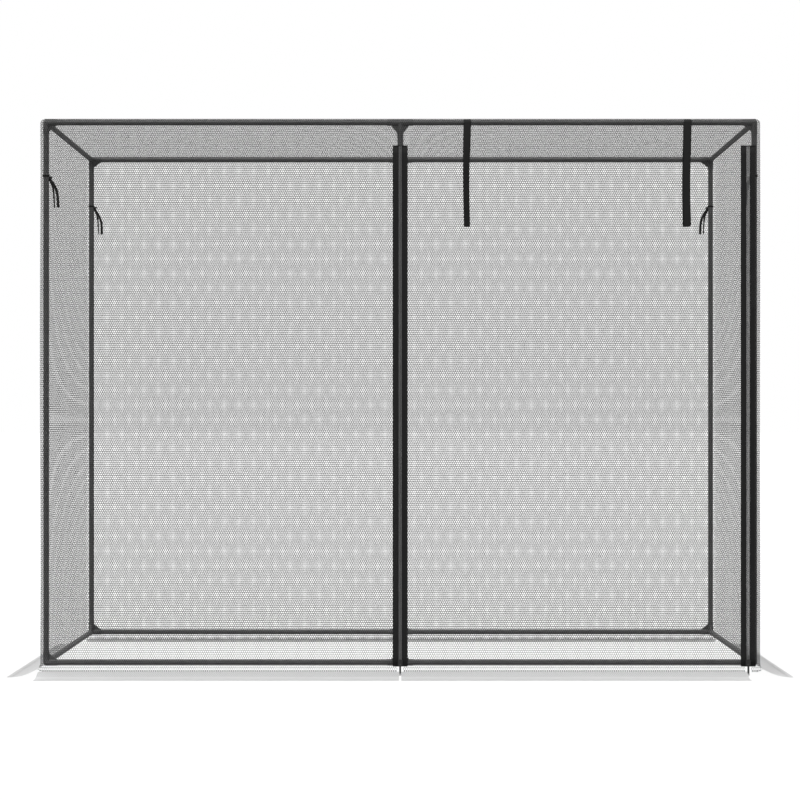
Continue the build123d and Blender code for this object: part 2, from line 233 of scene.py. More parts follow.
def knitted_net():
    """Two grids of hole centres, one shifted half a pitch across and a whole pitch along. Distances are
    squared with the across part made smaller by FLATTEN. On the border between a hole of the first grid
    and one of the second, both squared distances are equal. Their difference over its own slope, twice
    apart, is how far a point is from that border."""
    material, surface, output = start(
        "knitted_polyethylene_net", "#202020", 0.55, IOR=1.5, Specular_IOR_Level=0.3
    )
    cloth = add(material, "UVMap.cloth")
    split = add(material, "SeparateXYZ", Vector=cloth)
    across, along = split.outputs[0], split.outputs[1]
    half, apart = HOLE_PITCH / 2, HOLE_PITCH * np.sqrt((0.5 * FLATTEN) ** 2 + 1.0)

    def centred(value, step, shift):
        """Distance from the nearest of a row of centres, step apart, as a signed number."""
        moved = add(material, "Math.ADD", value, shift + step / 2)
        return add(material, "Math.SUBTRACT", add(material, "Math.FLOORED_MODULO", moved, step), step / 2)

    def squared(a, b):
        """b squared plus FLATTEN times a squared."""
        flat = add(material, "Math.MULTIPLY", add(material, "Math.MULTIPLY", a, a), FLATTEN)
        return add(material, "Math.MULTIPLY_ADD", b, b, flat)

    a1, b1 = centred(across, HOLE_PITCH, 0.0), centred(along, 2 * HOLE_PITCH, 0.0)
    a2, b2 = centred(across, HOLE_PITCH, half), centred(along, 2 * HOLE_PITCH, HOLE_PITCH)
    difference = add(material, "Math.SUBTRACT", squared(a1, b1), squared(a2, b2))
    from_slant = add(material, "Math.DIVIDE", add(material, "Math.ABSOLUTE", difference), 2 * apart)
    second = add(material, "Math.GREATER_THAN", difference, 0.0)
    sideways = add(material, "Mix.FLOAT", i0=second, i2=a1, i3=a2)
    from_loop = add(material, "Math.SUBTRACT", half, add(material, "Math.ABSOLUTE", sideways))
    slant = add(material, "Math.SUBTRACT", 1.0, add(material, "Math.DIVIDE", from_slant, YARN_WIDTH / 2))
    loop = add(material, "Math.SUBTRACT", 1.0, add(material, "Math.DIVIDE", from_loop, LOOP_WIDTH / 2))
    from_open = add(material, "Math.ABSOLUTE", add(material, "Math.SUBTRACT", along, OPEN_V))
    closed = add(material, "Math.GREATER_THAN", from_open, OPEN_WIDTH / 2)
    slant = add(material, "Math.MULTIPLY", slant, closed)
    from_hem = add(material, "Math.ABSOLUTE", add(material, "Math.SUBTRACT", along, HEM_V))
    from_knot = add(material, "Math.MAXIMUM", from_hem, add(material, "Math.ABSOLUTE", a1))
    knot = add(material, "Math.SUBTRACT", 1.0, add(material, "Math.DIVIDE", from_knot, KNOT_WIDTH / 2))
    depth = add(material, "Math.MAXIMUM", add(material, "Math.MAXIMUM", slant, loop), knot)
    yarn = add(material, "Math.GREATER_THAN", depth, 0.0)

    place = add(material, "TexCoord").outputs["Object"]
    twist = add(material, "TexNoise", Vector=place, Scale=1 / (0.8 * MM), Detail=1.0)
    tone = add(material, "Mix.RGBA", i0=twist, i6=linear("#191919"), i7=linear("#2a2a2a")).outputs[2]
    link(material, tone, surface.inputs["Base Color"])
    rounded = add(material, "Math.SQRT", add(material, "Math.MAXIMUM", depth, 0.0))
    bump = add(material, "Bump", Height=rounded, Strength=0.8, Distance=0.3 * MM)
    link(material, bump, surface.inputs["Normal"])
    hole = add(material, "BsdfTransparent")
    mixed = add(material, "MixShader", i0=yarn, i1=hole, i2=surface)
    link(material, mixed, output.inputs["Surface"])
    return material


net = knitted_net()
print("net: holes", HOLE_PITCH / MM, "mm apart")

# %% [markdown]
# ## Woven cloths
#
# The skirts, zip tapes, straps and ties are all woven, and differ in yarn and weave. One material maker
# draws a weave from two wave patterns on the cloth's UV map, one along each set of yarns, shows them as
# bumps and as slightly darker gaps, which are painted shade between the yarns, and adds a slow stain or
# fade. On the zip tapes it draws a row of stitches, short raised dashes of thread. The skirts are pale and
# thin, so they also let light through; on the front and back skirts the net's shadow is painted on as faint
# dots.


# %% Woven cloth
def woven(
    name, colour, gap_shade, across_mm, along_mm, roughness, depth_mm,
    lean=0.0, rows=(), thread="#3a3a3a", through=0.0, net_shadow=None
):
    """Height = |sin(pi u / across)| + |sin(pi v / along)|, with u leaned by lean * v for a twill.
    rows are distances in millimetres, in u, of lines of 3.2 mm stitches. through is the share of the light
    that a thin pale cloth lets through, softened, so that its shaded side glows. The second colour is painted
    shade in the gaps between the yarns. The last argument, if given, is the colour of painted shadow: dots
    where the net lies under the cloth, as far apart as its knots, up to 45 mm from the hem."""
    material, surface, output = start(name, colour, roughness, IOR=1.48, Specular_IOR_Level=0.22)
    cloth = add(material, "UVMap.cloth")
    split = add(material, "SeparateXYZ", Vector=cloth)
    u, v = split.outputs[0], split.outputs[1]
    leaned = add(material, "Math.MULTIPLY_ADD", v, lean, u)
    warp = add(material, "Math.SINE", add(material, "Math.MULTIPLY", leaned, np.pi / (across_mm * MM)))
    weft = add(material, "Math.SINE", add(material, "Math.MULTIPLY", v, np.pi / (along_mm * MM)))
    warp, weft = (add(material, "Math.ABSOLUTE", wave) for wave in (warp, weft))
    ribs = add(material, "Math.ADD", warp, weft)
    height = add(material, "Math.MULTIPLY", ribs, 0.5)
    place = add(material, "TexCoord").outputs["Object"]
    fade = add(material, "TexNoise", Vector=place, Scale=5.0, Detail=5.0)
    yarn = add(material, "Math.MULTIPLY_ADD", add(material, "Math.SUBTRACT", fade, 0.5), 0.5, height)
    # The gaps between the yarns take the darker gap colour: painted shade. The slow fade mixed in is a stain.
    low = add(material, "Mix.RGBA", i0=yarn, i6=linear(gap_shade), i7=linear(colour)).outputs[2]
    surface_colour, surface_height = low, height
    # Painted shadow: dots where the net would lie under the cloth and shade it.
    if net_shadow:
        stagger = add(material, "Math.FLOORED_MODULO", u, 2 * HOLE_PITCH)
        odd = add(material, "Math.GREATER_THAN", stagger, HOLE_PITCH)
        shift = add(material, "Math.MULTIPLY", odd, HOLE_PITCH / 2)
        across_dot = add(material, "Math.FLOORED_MODULO", add(material, "Math.ADD", v, shift), HOLE_PITCH)
        along_dot = add(material, "Math.FLOORED_MODULO", u, HOLE_PITCH)
        inside = add(material, "Math.MULTIPLY", add(material, "Math.LESS_THAN", across_dot, HOLE_PITCH / 2),
                     add(material, "Math.LESS_THAN", along_dot, 0.6 * HOLE_PITCH))
        net_shadow_dot = add(material, "Math.MULTIPLY", inside, add(material, "Math.LESS_THAN", u, 45 * MM))
        surface_colour = add(material, "Mix.RGBA", i0=net_shadow_dot, i6=surface_colour, i7=linear(net_shadow)).outputs[2]
    for row in rows:
        off = add(material, "Math.ABSOLUTE", add(material, "Math.SUBTRACT", u, row * MM))
        beside = add(material, "Math.LESS_THAN", off, 0.45 * MM)
        dash = add(material, "Math.LESS_THAN", add(material, "Math.FLOORED_MODULO", v, 3.2 * MM), 2.5 * MM)
        stitch = add(material, "Math.MULTIPLY", beside, dash)
        surface_colour = add(material, "Mix.RGBA", i0=stitch, i6=surface_colour, i7=linear(thread)).outputs[2]
        surface_height = add(material, "Math.ADD", surface_height, stitch)
    link(material, surface_colour, surface.inputs["Base Color"])
    bump = add(material, "Bump", Height=surface_height, Strength=0.7, Distance=depth_mm * MM)
    link(material, bump, surface.inputs["Normal"])
    rough = add(material, "MapRange", Value=yarn, To_Min=roughness + 0.12, To_Max=roughness)
    link(material, rough, surface.inputs["Roughness"])
    if through:
        glow = add(material, "BsdfTranslucent", Color=surface_colour)
        mixed = add(material, "MixShader", i0=through, i1=surface, i2=glow)
        link(material, mixed, output.inputs["Surface"])
    return material


# %% The cloths
# Skirt: flat polyethylene tapes 2.2 mm wide, woven plain and coated, so it is slick with a fine check.
skirt_cloth = woven("coated_woven_polyethylene", "#e9e9e9", "#d6d6d6", 2.2, 2.2, 0.48, 0.12, through=0.35)
# The front and back nets run on under their skirts; their shadow through the cloth is painted on as faint dots.
skirt_with_net_shadow = woven("coated_woven_polyethylene_net_shadow", "#ececec", "#dadada", 2.2, 2.2, 0.48, 0.12,
                       through=0.35, net_shadow="#b4b4b4")
# Zip tape: polyester in a tight twill; its row of stitches holds it to the net.
zip_cloth = woven(
    "polyester_zip_tape", "#1d1d1d", "#101010", 1.1, 0.9, 0.7, 0.12, lean=0.5, rows=(21.0,), thread="#2e2e2e"
)
# Strap: polypropylene webbing with bold slanting ribs, 2.5 mm apart, in flat satin yarn.
strap_cloth = woven("polypropylene_webbing", "#1c1c1c", "#0d0d0d", 2.5, 1.4, 0.55, 0.3, lean=0.35)
# Tie: narrow polyester tape with a fine crosswise rib.
tie_cloth = woven("polyester_tape", "#1c1c1c", "#0e0e0e", 1.5, 1.0, 0.68, 0.2)
print("cloths:", [m.name for m in (skirt_cloth, zip_cloth, strap_cloth, tie_cloth)])

# %% [markdown]
# ## Nylon coil
#
# Each half of the zip is one nylon wire wound into a flat spiral. The nylon is extruded, so it is smooth
# and a little glossy, and dyed in the mass. The wire is a mid grey.


# %% Extruded nylon
def nylon():
    """Dyed nylon wire: a slow change of tone along the spiral and very fine drawing marks."""
    material, surface, _ = start("extruded_nylon", "#6a6a6a", 0.4, IOR=1.53)
    place = add(material, "TexCoord").outputs["Object"]
    slow = add(material, "TexNoise", Vector=place, Scale=60.0, Detail=3.0)
    tone = add(material, "Mix.RGBA", i0=slow, i6=linear("#626262"), i7=linear("#727272")).outputs[2]
    link(material, tone, surface.inputs["Base Color"])
    fine = add(material, "TexNoise", Vector=place, Scale=1 / (0.4 * MM), Detail=1.0)
    bump = add(material, "Bump", Height=fine, Strength=0.3, Distance=0.05 * MM)
    link(material, bump, surface.inputs["Normal"])
    return material


coil_nylon = nylon()
print("coil finish:", coil_nylon.name)

# %% [markdown]
# ## Building cloth from grids
#
# Every new piece is a grid of points: rows one way, columns the other, worked out as whole arrays. One
# function joins neighbouring points into faces and writes the UV map, which holds the distance along the
# cloth in metres. A grid can be closed into a tube, and its two ends can be capped.


# %% Grid meshes
def grid_faces(rows, columns, closed):
    """Index of each face's four corners. Point (i, j) is number i * columns + j."""
    i, j = np.meshgrid(np.arange(rows - 1), np.arange(columns if closed else columns - 1), indexing="ij")
    right = (j + 1) % columns
    this_row, next_row = i * columns, (i + 1) * columns
    return np.stack([this_row + j, next_row + j, next_row + right, this_row + right], -1)


def piece(name, parts, material, body, replaced):
    """One object from a list of grids (points, uv, closed). Faces turn outwards if the rows run down and
    the columns to the left as seen from outside. Closed grids are tubes and get a cap at each end."""
    points, uvs, faces, caps, base = [], [], [], [], 0
    for grid, uv, closed in parts:
        rows, columns = grid.shape[:2]
        points.append(grid.reshape(-1, 3))
        uvs.append(uv.reshape(-1, 2))
        faces.append(base + grid_faces(rows, columns, closed).reshape(-1, 4))
        if closed:
            caps.append((base + np.arange(columns)).tolist())
            caps.append((base + (rows - 1) * columns + np.arange(columns)[::-1]).tolist())
        base += rows * columns
    points, uvs, faces = np.concatenate(points), np.concatenate(uvs), np.concatenate(faces)
    mesh = bpy.data.meshes.new(name)
    mesh.from_pydata(points, [], faces.tolist() + caps)
    layer = mesh.uv_layers.new(name="cloth")
    corner = np.empty(len(mesh.loops), int)
    mesh.loops.foreach_get("vertex_index", corner)
    layer.data.foreach_set("uv", uvs[corner].astype(np.float32).ravel())
    mesh.polygons.foreach_set("use_smooth", np.ones(len(mesh.polygons), bool))
    mesh.materials.append(material)
    if caps:
        solid = bmesh.new()
        solid.from_mesh(mesh)
        bmesh.ops.recalc_face_normals(solid, faces=solid.faces)
        solid.to_mesh(mesh)
        solid.free()
    made = bpy.data.objects.new(name, mesh)
    bpy.context.scene.collection.objects.link(made)
    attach(made, body)
    if replaced:
        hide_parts(*replaced)
    mesh.calc_loop_triangles()
    print(name, "triangles", len(mesh.loop_triangles))
    return made


# %% Thickness of the yarn
def thicken(net_piece):
    """Gives a net the thickness of its yarn: Solidify adds a second face behind the first, so that the
    holes close when the net is seen at a slant."""
    shell = net_piece.modifiers.new("yarn", "SOLIDIFY")
    shell.thickness = YARN_THICKNESS
    shell.offset = 0.0
    shell.use_rim = False


# %% [markdown]
# ## Sizes read from the CAD
#
# Nothing is measured twice: the places of the walls, the roof, the zips and the skirts come from the
# boxes of the CAD nodes.

# %% Sizes
low, high = (np.array(corner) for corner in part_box("net_roof"))
WALL_X, WALL_Y, ROOF_Z = high[0] - 0.3 * MM, high[1] - 0.3 * MM, high[2] - 0.3 * MM
SIDE_OFF, FRONT_OFF = 10 * MM, 8 * MM  # how far out from the frame the walls hang
FRAME_X, FRAME_Y = WALL_X - SIDE_OFF, WALL_Y - FRONT_OFF
SIDE_FLARE, FRONT_FLARE = 170 * MM, 256 * MM  # radius of a skirt's arc
low, high = (np.array(corner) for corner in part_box("zip_centre_tape_fixed"))
ZIP_OUTER, ZIP_INNER, ZIP_BOTTOM, ZIP_TOP = -low[0], -high[0], low[2], high[2]
low, high = (np.array(corner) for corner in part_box("zip_right_tape_door"))
RIGHT_ZIP_X = low[0] + ZIP_OUTER
TAPE_EDGE = ZIP_INNER - 1.2 * MM  # the tape's cord lies against the side of the coil
NET_EDGE = 10 * MM  # the net runs this near to a zip's middle, under the tape
print("walls", WALL_X, WALL_Y, "roof", ROOF_Z, "zip", ZIP_BOTTOM, ZIP_TOP, "right zip", RIGHT_ZIP_X)

# %% [markdown]
# ## The cover's walls
#
# The walls are one strip of net that goes from the centre zip round the left, the back and the right to
# the second zip. It hangs straight from the roof's seam, which is rounded over the tubes, and at the foot
# it turns outwards to meet the skirts. The plan is a rectangle with rounded corners: each point is a
# point of a smaller rectangle, moved outwards along the wall's own direction by the corner's radius plus
# whatever the section says at that height.

# %% Section of a wall
TOP_ROUND = 15 * MM
PLAN_ROUND = 15.5 * MM
TOUCHES = 110 * MM  # a skirt's arc meets the ground this far out from the frame
CLOTH_MIDDLE = 0.75 * MM  # middle of the skirt's thickness, above the ground


def arc_height(out, radius):
    """Height of the skirt's arc at a distance out from the frame: radius less the root of radius squared
    less the squared distance to where the arc touches the ground."""
    reach = np.clip(TOUCHES - out, 0, None)
    return radius - np.sqrt(radius**2 - reach**2) + CLOTH_MIDDLE


def section(wall_out, flare_radius, bend_top, meets):
    """Wall's section from the roof's seam down: a quarter circle, a straight drop, then a curve whose end
    is tangent to the skirt's arc. Gives how far each point is outside the wall, its height, and the
    distance along the cloth, zero at the ground."""
    turn = np.linspace(0, np.pi / 2, 9)
    out = [TOP_ROUND * (np.sin(turn) - 1)]
    z = [ROOF_Z - TOP_ROUND * (1 - np.cos(turn))]
    drop = np.linspace(ROOF_Z - TOP_ROUND, bend_top, 92)[1:]
    out.append(np.zeros_like(drop))
    z.append(drop)
    end_z = arc_height(meets, flare_radius)
    slope = (TOUCHES - meets) / np.sqrt(flare_radius**2 - (TOUCHES - meets) ** 2)
    corner_z = end_z + slope * (meets - wall_out)
    t = np.linspace(0, 1, 8)[1:]
    out.append(t**2 * (meets - wall_out))
    z.append((1 - t) ** 2 * bend_top + 2 * t * (1 - t) * corner_z + t**2 * end_z)
    out, z = np.concatenate(out), np.concatenate(z)
    step = np.hypot(np.diff(out), np.diff(z))
    along = np.concatenate([[0], np.cumsum(step)])
    level = np.argmin(np.abs(z - (ROOF_Z - TOP_ROUND)))
    return out, z, z[level] + along[level] - along


side_section = section(SIDE_OFF, SIDE_FLARE, 56 * MM, 19 * MM)
front_section = section(FRONT_OFF, FRONT_FLARE, 34 * MM, 14 * MM)
print("side net ends", side_section[1][-1], "front net ends", front_section[1][-1])


# %% Plan of the walls
def plan(from_x, to_x):
    """Columns from the front at from_x leftwards round the cage to the front at to_x: the inner
    rectangle's point, the outward direction, and the distance along, which is x on the front wall."""
    inner_x, inner_y = WALL_X - PLAN_ROUND, WALL_Y - PLAN_ROUND
    corners = [(-inner_x, -inner_y), (-inner_x, inner_y), (inner_x, inner_y), (inner_x, -inner_y)]
    angles = [-np.pi / 2, -np.pi, -1.5 * np.pi, -2 * np.pi, -2.5 * np.pi]
    base, angle = [], []
    begin = (from_x, -inner_y)
    for k, corner in enumerate(corners):
        count = max(2, int(np.hypot(corner[0] - begin[0], corner[1] - begin[1]) / (20 * MM)))
        base.append(np.linspace(begin, corner, count))
        angle.append(np.full(count, angles[k]))
        turn = np.linspace(angles[k], angles[k + 1], 8)[1:-1]
        base.append(np.tile(corner, (len(turn), 1)))
        angle.append(turn)
        begin = corner
    base.append(np.linspace(begin, (to_x, -inner_y), 2))
    angle.append(np.full(2, angles[-1]))
    base, angle = np.concatenate(base), np.concatenate(angle)
    outward = np.stack([np.cos(angle), np.sin(angle)], -1)
    edge = base + outward * PLAN_ROUND
    along = from_x - np.concatenate([[0], np.cumsum(np.linalg.norm(np.diff(edge, axis=0), axis=1))])
    return base, outward, along


def wall_grid(base, outward, along, sections):
    """Point = base + outward * (plan radius + section). The section goes smoothly from the side's to the
    front's with the direction the wall faces. Long shallow waves, up to 2 mm high, keep it from being a
    perfect plane; they fade out at the top seam and the foot."""
    (side_out, side_z, side_v), (front_out, front_z, front_v) = sections
    facing = (outward[:, 1] ** 2)[None, :]
    out = side_out[:, None] * (1 - facing) + front_out[:, None] * facing
    z = side_z[:, None] * (1 - facing) + front_z[:, None] * facing
    v = side_v[:, None] * (1 - facing) + front_v[:, None] * facing
    calm = np.clip((ROOF_Z - z) / 0.25, 0, 1) * np.clip((z - 40 * MM) / 0.3, 0, 1)
    waves = np.sin(7.1 * along)[None, :] * np.sin(3.9 * z + 0.8) + 0.6 * np.sin(13.0 * along + 4.0 * z)
    out = out + 1.2 * MM * calm * waves
    xy = base[None] + outward[None] * (PLAN_ROUND + out)[..., None]
    points = np.concatenate([xy, z[..., None]], -1)
    return points, np.stack([np.broadcast_to(along, v.shape), v], -1)


base, outward, along = plan(-NET_EDGE, RIGHT_ZIP_X + NET_EDGE)
points, uv = wall_grid(base, outward, along, (side_section, front_section))
walls = piece(
    "cover_walls",
    [(points, uv, False)],
    net,
    ROOT,
    ["net_left", "net_back", "net_right", "net_front_fixed"],
)
thicken(walls)

# %% [markdown]
# ## Net above the door, and the door
#
# Over the zips a short strip of the same net closes the front. The door is a panel of its own between
# the two zips. On the real cage it is rolled up from the foot and tied with the straps.

# %% Header strip
header_columns = np.linspace(RIGHT_ZIP_X + NET_EDGE, -NET_EDGE, 61)
above = front_section[1] >= ZIP_TOP - 12 * MM
rows = np.concatenate([front_section[1][above], [ZIP_TOP - 12 * MM]])
out = np.concatenate([front_section[0][above], [0.0]])
v = np.concatenate([front_section[2][above], [ZIP_TOP - 12 * MM]])
x, z = np.meshgrid(header_columns, rows)
y = -(WALL_Y + np.broadcast_to(out[:, None], x.shape))
header = piece(
    "cover_header",
    [(np.stack([x, y, z], -1), np.stack([x, np.broadcast_to(v[:, None], x.shape)], -1), False)],
    net,
    ROOT,
    ["net_front_header"],
)
thicken(header)

# %% Door
door_columns = np.linspace(RIGHT_ZIP_X - NET_EDGE, NET_EDGE, 58)
below = front_section[1] < ZIP_TOP - 1 * MM
rows = np.concatenate([[ZIP_TOP - 1 * MM], front_section[1][below]])
out = np.concatenate([[0.0], front_section[0][below]])
v = np.concatenate([[ZIP_TOP - 1 * MM], front_section[2][below]])
x, z = np.meshgrid(door_columns, rows)
calm = np.sin(np.pi * (x - NET_EDGE) / (RIGHT_ZIP_X - 2 * NET_EDGE)) * np.clip((z - 40 * MM) / 0.3, 0, 1)
calm = calm * np.clip((ZIP_TOP - z) / 0.2, 0, 1)
waves = 1.2 * MM * calm * np.sin(6.3 * x + 2.0 * z)
y = -(WALL_Y + out[:, None] + waves)
door = piece(
    "door_net",
    [(np.stack([x, y, z], -1), np.stack([x, np.broadcast_to(v[:, None], x.shape)], -1), False)],
    net,
    ROOT,
    ["net_door"],
)
thicken(door)
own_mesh(door)

# %% [markdown]
# ## Roof
#
# The roof is one rectangle of net laid over the top tubes and sewn to the walls all round. Between the
# tubes it sags a few millimetres.

# %% Roof net
half_x, half_y = WALL_X - TOP_ROUND, WALL_Y - TOP_ROUND
x, y = np.meshgrid(np.linspace(half_x, -half_x, 121), np.linspace(half_y, -half_y, 61))
sag = 5 * MM * np.sin(np.pi * np.abs(x) / half_x) * np.cos(np.pi * y / (2 * half_y))
roof = piece(
    "cover_roof",
    [(np.stack([x, y, ROOF_Z - sag], -1), np.stack([x, y], -1), False)],
    net,
    ROOT,
    ["net_roof"],
)
thicken(roof)

# %% [markdown]
# ## Sewn seam round the roof
#
# The roof and the walls are joined by a narrow bound seam, which shows as a thin dark line along the
# cage's top edges. It is a small squarish section carried along each edge, in the ties' ribbed tape.


# %% Sweeping a section along a path
def sweep(path, width, thick, sideways, sides=8, ends=None):
    """A squarish section carried along a path. Point = path + sideways * width / 2 * c + face * thick / 2
    * s, where face is square to the path and to sideways, and c and s are the signed roots of cos(a) and
    sin(a). ends scales the width row by row, for rounded ends. UV: across the cloth, and the distance
    along it."""
    path = np.asarray(path, float)
    tangent = np.gradient(path, axis=0)
    tangent /= np.linalg.norm(tangent, axis=1, keepdims=True)
    sideways = np.broadcast_to(np.asarray(sideways, float), path.shape)
    sideways = sideways - tangent * (sideways * tangent).sum(1, keepdims=True)
    sideways /= np.linalg.norm(sideways, axis=1, keepdims=True)
    face = np.cross(tangent, sideways)
    angle = np.linspace(0, 2 * np.pi, sides, endpoint=False)
    flat_cos, flat_sin = (np.sign(wave) * np.abs(wave) ** 0.5 for wave in (np.cos(angle), np.sin(angle)))
    scale = np.ones(len(path)) if ends is None else ends
    a = (width / 2 * scale)[:, None] * flat_cos[None]
    b = np.broadcast_to(thick / 2 * flat_sin[None], a.shape)
    points = path[:, None] + sideways[:, None] * a[..., None] + face[:, None] * b[..., None]
    along = np.concatenate([[0], np.cumsum(np.linalg.norm(np.diff(path, axis=0), axis=1))])
    return points, np.stack([a, np.broadcast_to(along[:, None], a.shape)], -1), True


# %% Roof seam
seam_z = ROOF_Z + 0.2 * MM
runs = []
for x_way, y_way in ((1, 0), (-1, 0), (0, 1), (0, -1)):
    t = np.linspace(-1, 1, 80)
    path = np.stack([t * half_x if x_way == 0 else np.full(80, x_way * half_x),
                     t * half_y if y_way == 0 else np.full(80, y_way * half_y),
                     np.full(80, seam_z)], -1)
    runs.append(sweep(path, 2.4 * MM, 1.2 * MM, (x_way, y_way, 0), sides=6))
piece("cover_roof_seam", runs, tie_cloth, ROOT, None)

# %% [markdown]
# ## Ground skirts
#
# A skirt is a strip of coated cloth sewn under the net's lower edge. It sweeps outwards to lie on the
# ground, where soil or pegs hold it down. Its outer edge is turned over, so the last 14 mm are double.


# %% One skirt
def skirt_grid(outward, low, high, radius, starts):
    """Section: the arc from the net's hem to the ground, a flat strip, a tight turn, and the fold lying
    back on top. It runs straight along the wall with a slow ripple of about 1 mm that dies at the
    ground."""
    face = FRAME_X if outward[0] else FRAME_Y
    out = np.concatenate([np.linspace(starts, 109 * MM, 26), [112 * MM, 116 * MM, 119.5 * MM]])
    z = arc_height(out, radius)
    edge = np.linspace(-np.pi / 2, np.pi / 2, 6)
    turn_out, turn_z = 119.6 * MM + 0.7 * MM * np.cos(edge), 1.45 * MM + 0.7 * MM * np.sin(edge)
    back = np.linspace(119 * MM, 106 * MM, 8)
    out = np.concatenate([out, turn_out, back])
    z = np.concatenate([z, turn_z, arc_height(back, radius) + 1.4 * MM])
    along_section = np.concatenate([[0], np.cumsum(np.hypot(np.diff(out), np.diff(z)))])
    t = np.linspace(low, high, int((high - low) / (20 * MM)))
    if outward[0] < 0 or outward[1] > 0:
        t = t[::-1]
    fade = np.clip((100 * MM - out) / (100 * MM), 0, 1) * np.clip((out - starts) / (20 * MM), 0, 1)
    ripple = 0.8 * MM * fade[:, None] * (1 + np.sin(9.0 * t + 1.0)[None])
    distance = face + np.broadcast_to(out[:, None], ripple.shape)
    run = np.broadcast_to(t[None], ripple.shape)
    xy = (outward[0] * distance, run) if outward[0] else (run, outward[1] * distance)
    points = np.stack([*xy, z[:, None] + ripple], -1)
    uv = np.stack([np.broadcast_to(along_section[:, None], ripple.shape), run], -1)
    return points, uv, float(along_section[-1]), float(high - low)


for name, outward, radius, starts, body in (
    ("skirt_left", (-1, 0), SIDE_FLARE, 17.5 * MM, ROOT),
    ("skirt_right", (1, 0), SIDE_FLARE, 17.5 * MM, ROOT),
    ("skirt_back", (0, 1), FRONT_FLARE, 12.5 * MM, ROOT),
    ("skirt_front_fixed", (0, -1), FRONT_FLARE, 12.5 * MM, ROOT),
    ("skirt_door", (0, -1), FRONT_FLARE, 12.5 * MM, "door_hem"),
):
    low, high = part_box(name)
    axis = 1 if outward[0] else 0
    points, uv, depth, length = skirt_grid(outward, low[axis] - MM, high[axis] + MM, radius, starts)
    # The front and back skirts carry the painted shadow of the net.
    finish = skirt_cloth if outward[0] else skirt_with_net_shadow
    cloth = piece(name + "_cloth", [(points, uv, False)], finish, body, [name])

# %% [markdown]
# ## Zips
#
# A zip's tape is woven with a thick cord along its inner edge, where the coil is sewn on. The coil is a
# flat spiral: across, it goes out and back, and with every turn it climbs one pitch. The two coils are
# half a pitch apart in height, so that their loops lie between each other.
# A tape's ends are folded over and bar-tacked, which makes the dark bar at the top and foot.


# %% Tapes
TAPE_ROWS, TAPE_SIDES = 60, 20


def tape_grid(middle_x, way, bottom, top):
    """Section across: a flat ribbon about 0.8 mm thick from the coil's edge outwards, and about 1.4 mm
    thick at the cord by the coil. It is carried straight up."""
    z = np.linspace(bottom, top, TAPE_ROWS)
    ring = np.linspace(0, 2 * np.pi, TAPE_SIDES, endpoint=False)
    swing = np.sign(np.cos(ring)) * np.abs(np.cos(ring)) ** 0.6
    across = (TAPE_EDGE + ZIP_OUTER) / 2 + (ZIP_OUTER - TAPE_EDGE) / 2 * swing
    cord = np.exp(-(((across - TAPE_EDGE) / (2 * MM)) ** 2))
    thick = (0.38 + 0.3 * cord) * MM * np.sign(np.sin(ring)) * np.abs(np.sin(ring)) ** 0.4
    x = middle_x + way * across
    points = np.empty((TAPE_ROWS, TAPE_SIDES, 3))
    points[..., 0] = x[None]
    points[..., 1] = -WALL_Y + thick[None]
    points[..., 2] = z[:, None]
    uv = np.empty((TAPE_ROWS, TAPE_SIDES, 2))
    uv[..., 0] = across[None]
    uv[..., 1] = z[:, None]
    return points, uv, True


# %% Coils
COIL_PITCH = 2.5 * MM  # drawn a little coarser than a fine zip's, so that its loops show
WIRE = 1.5 * MM


def coil_grid(middle_x, way, bottom, top, late):
    """Spiral: x = centre + a cos(t), y = b sin(t), z climbs one pitch a turn; 8 steps to a turn. A ring
    of 5 points round the wire at each step, set square to the spiral."""
    turns = (top - bottom - 2 * WIRE) / COIL_PITCH - 0.5
    t = np.arange(0, int(turns * 8) + 1) * (2 * np.pi / 8)
    inner, outer = -0.3 * MM, TAPE_EDGE + 0.5 * MM
    middle, reach, depth = (inner + outer) / 2, (outer - inner - WIRE) / 2, 1.0 * MM
    x = middle_x + way * (middle + reach * np.cos(t))
    y = -WALL_Y + depth * np.sin(t)
    z = bottom + WIRE + COIL_PITCH * (t / (2 * np.pi) + late)
    path = np.stack([x, y, z], -1)
    tangent = np.gradient(path, axis=0)
    tangent /= np.linalg.norm(tangent, axis=1, keepdims=True)
    side = np.cross(tangent, [0.0, 0.0, 1.0])
    side /= np.linalg.norm(side, axis=1, keepdims=True)
    up = np.cross(side, tangent)
    ring = np.linspace(0, 2 * np.pi, 5, endpoint=False)
    points = path[:, None] + WIRE / 2 * (
        side[:, None] * np.cos(ring)[None, :, None] + up[:, None] * np.sin(ring)[None, :, None]
    )
    uv = np.stack([np.broadcast_to(ring[None] * WIRE / 2, points.shape[:2]),
                   np.broadcast_to(z[:, None], points.shape[:2])], -1)
    return points, uv, True


# %% Bar tacks
def end_bar(middle_x, way, z, height, begin):
    """Folded and tacked end of a tape: a soft bar 2 mm thick, from begin to the tape's outer edge."""
    across = np.linspace(begin, ZIP_OUTER - 0.3 * MM, 12)
    path = np.stack([middle_x + way * across, np.full(12, -WALL_Y), np.full(12, z)], -1)
    return sweep(path, height, 2.0 * MM, (0, 0, 1), sides=10)


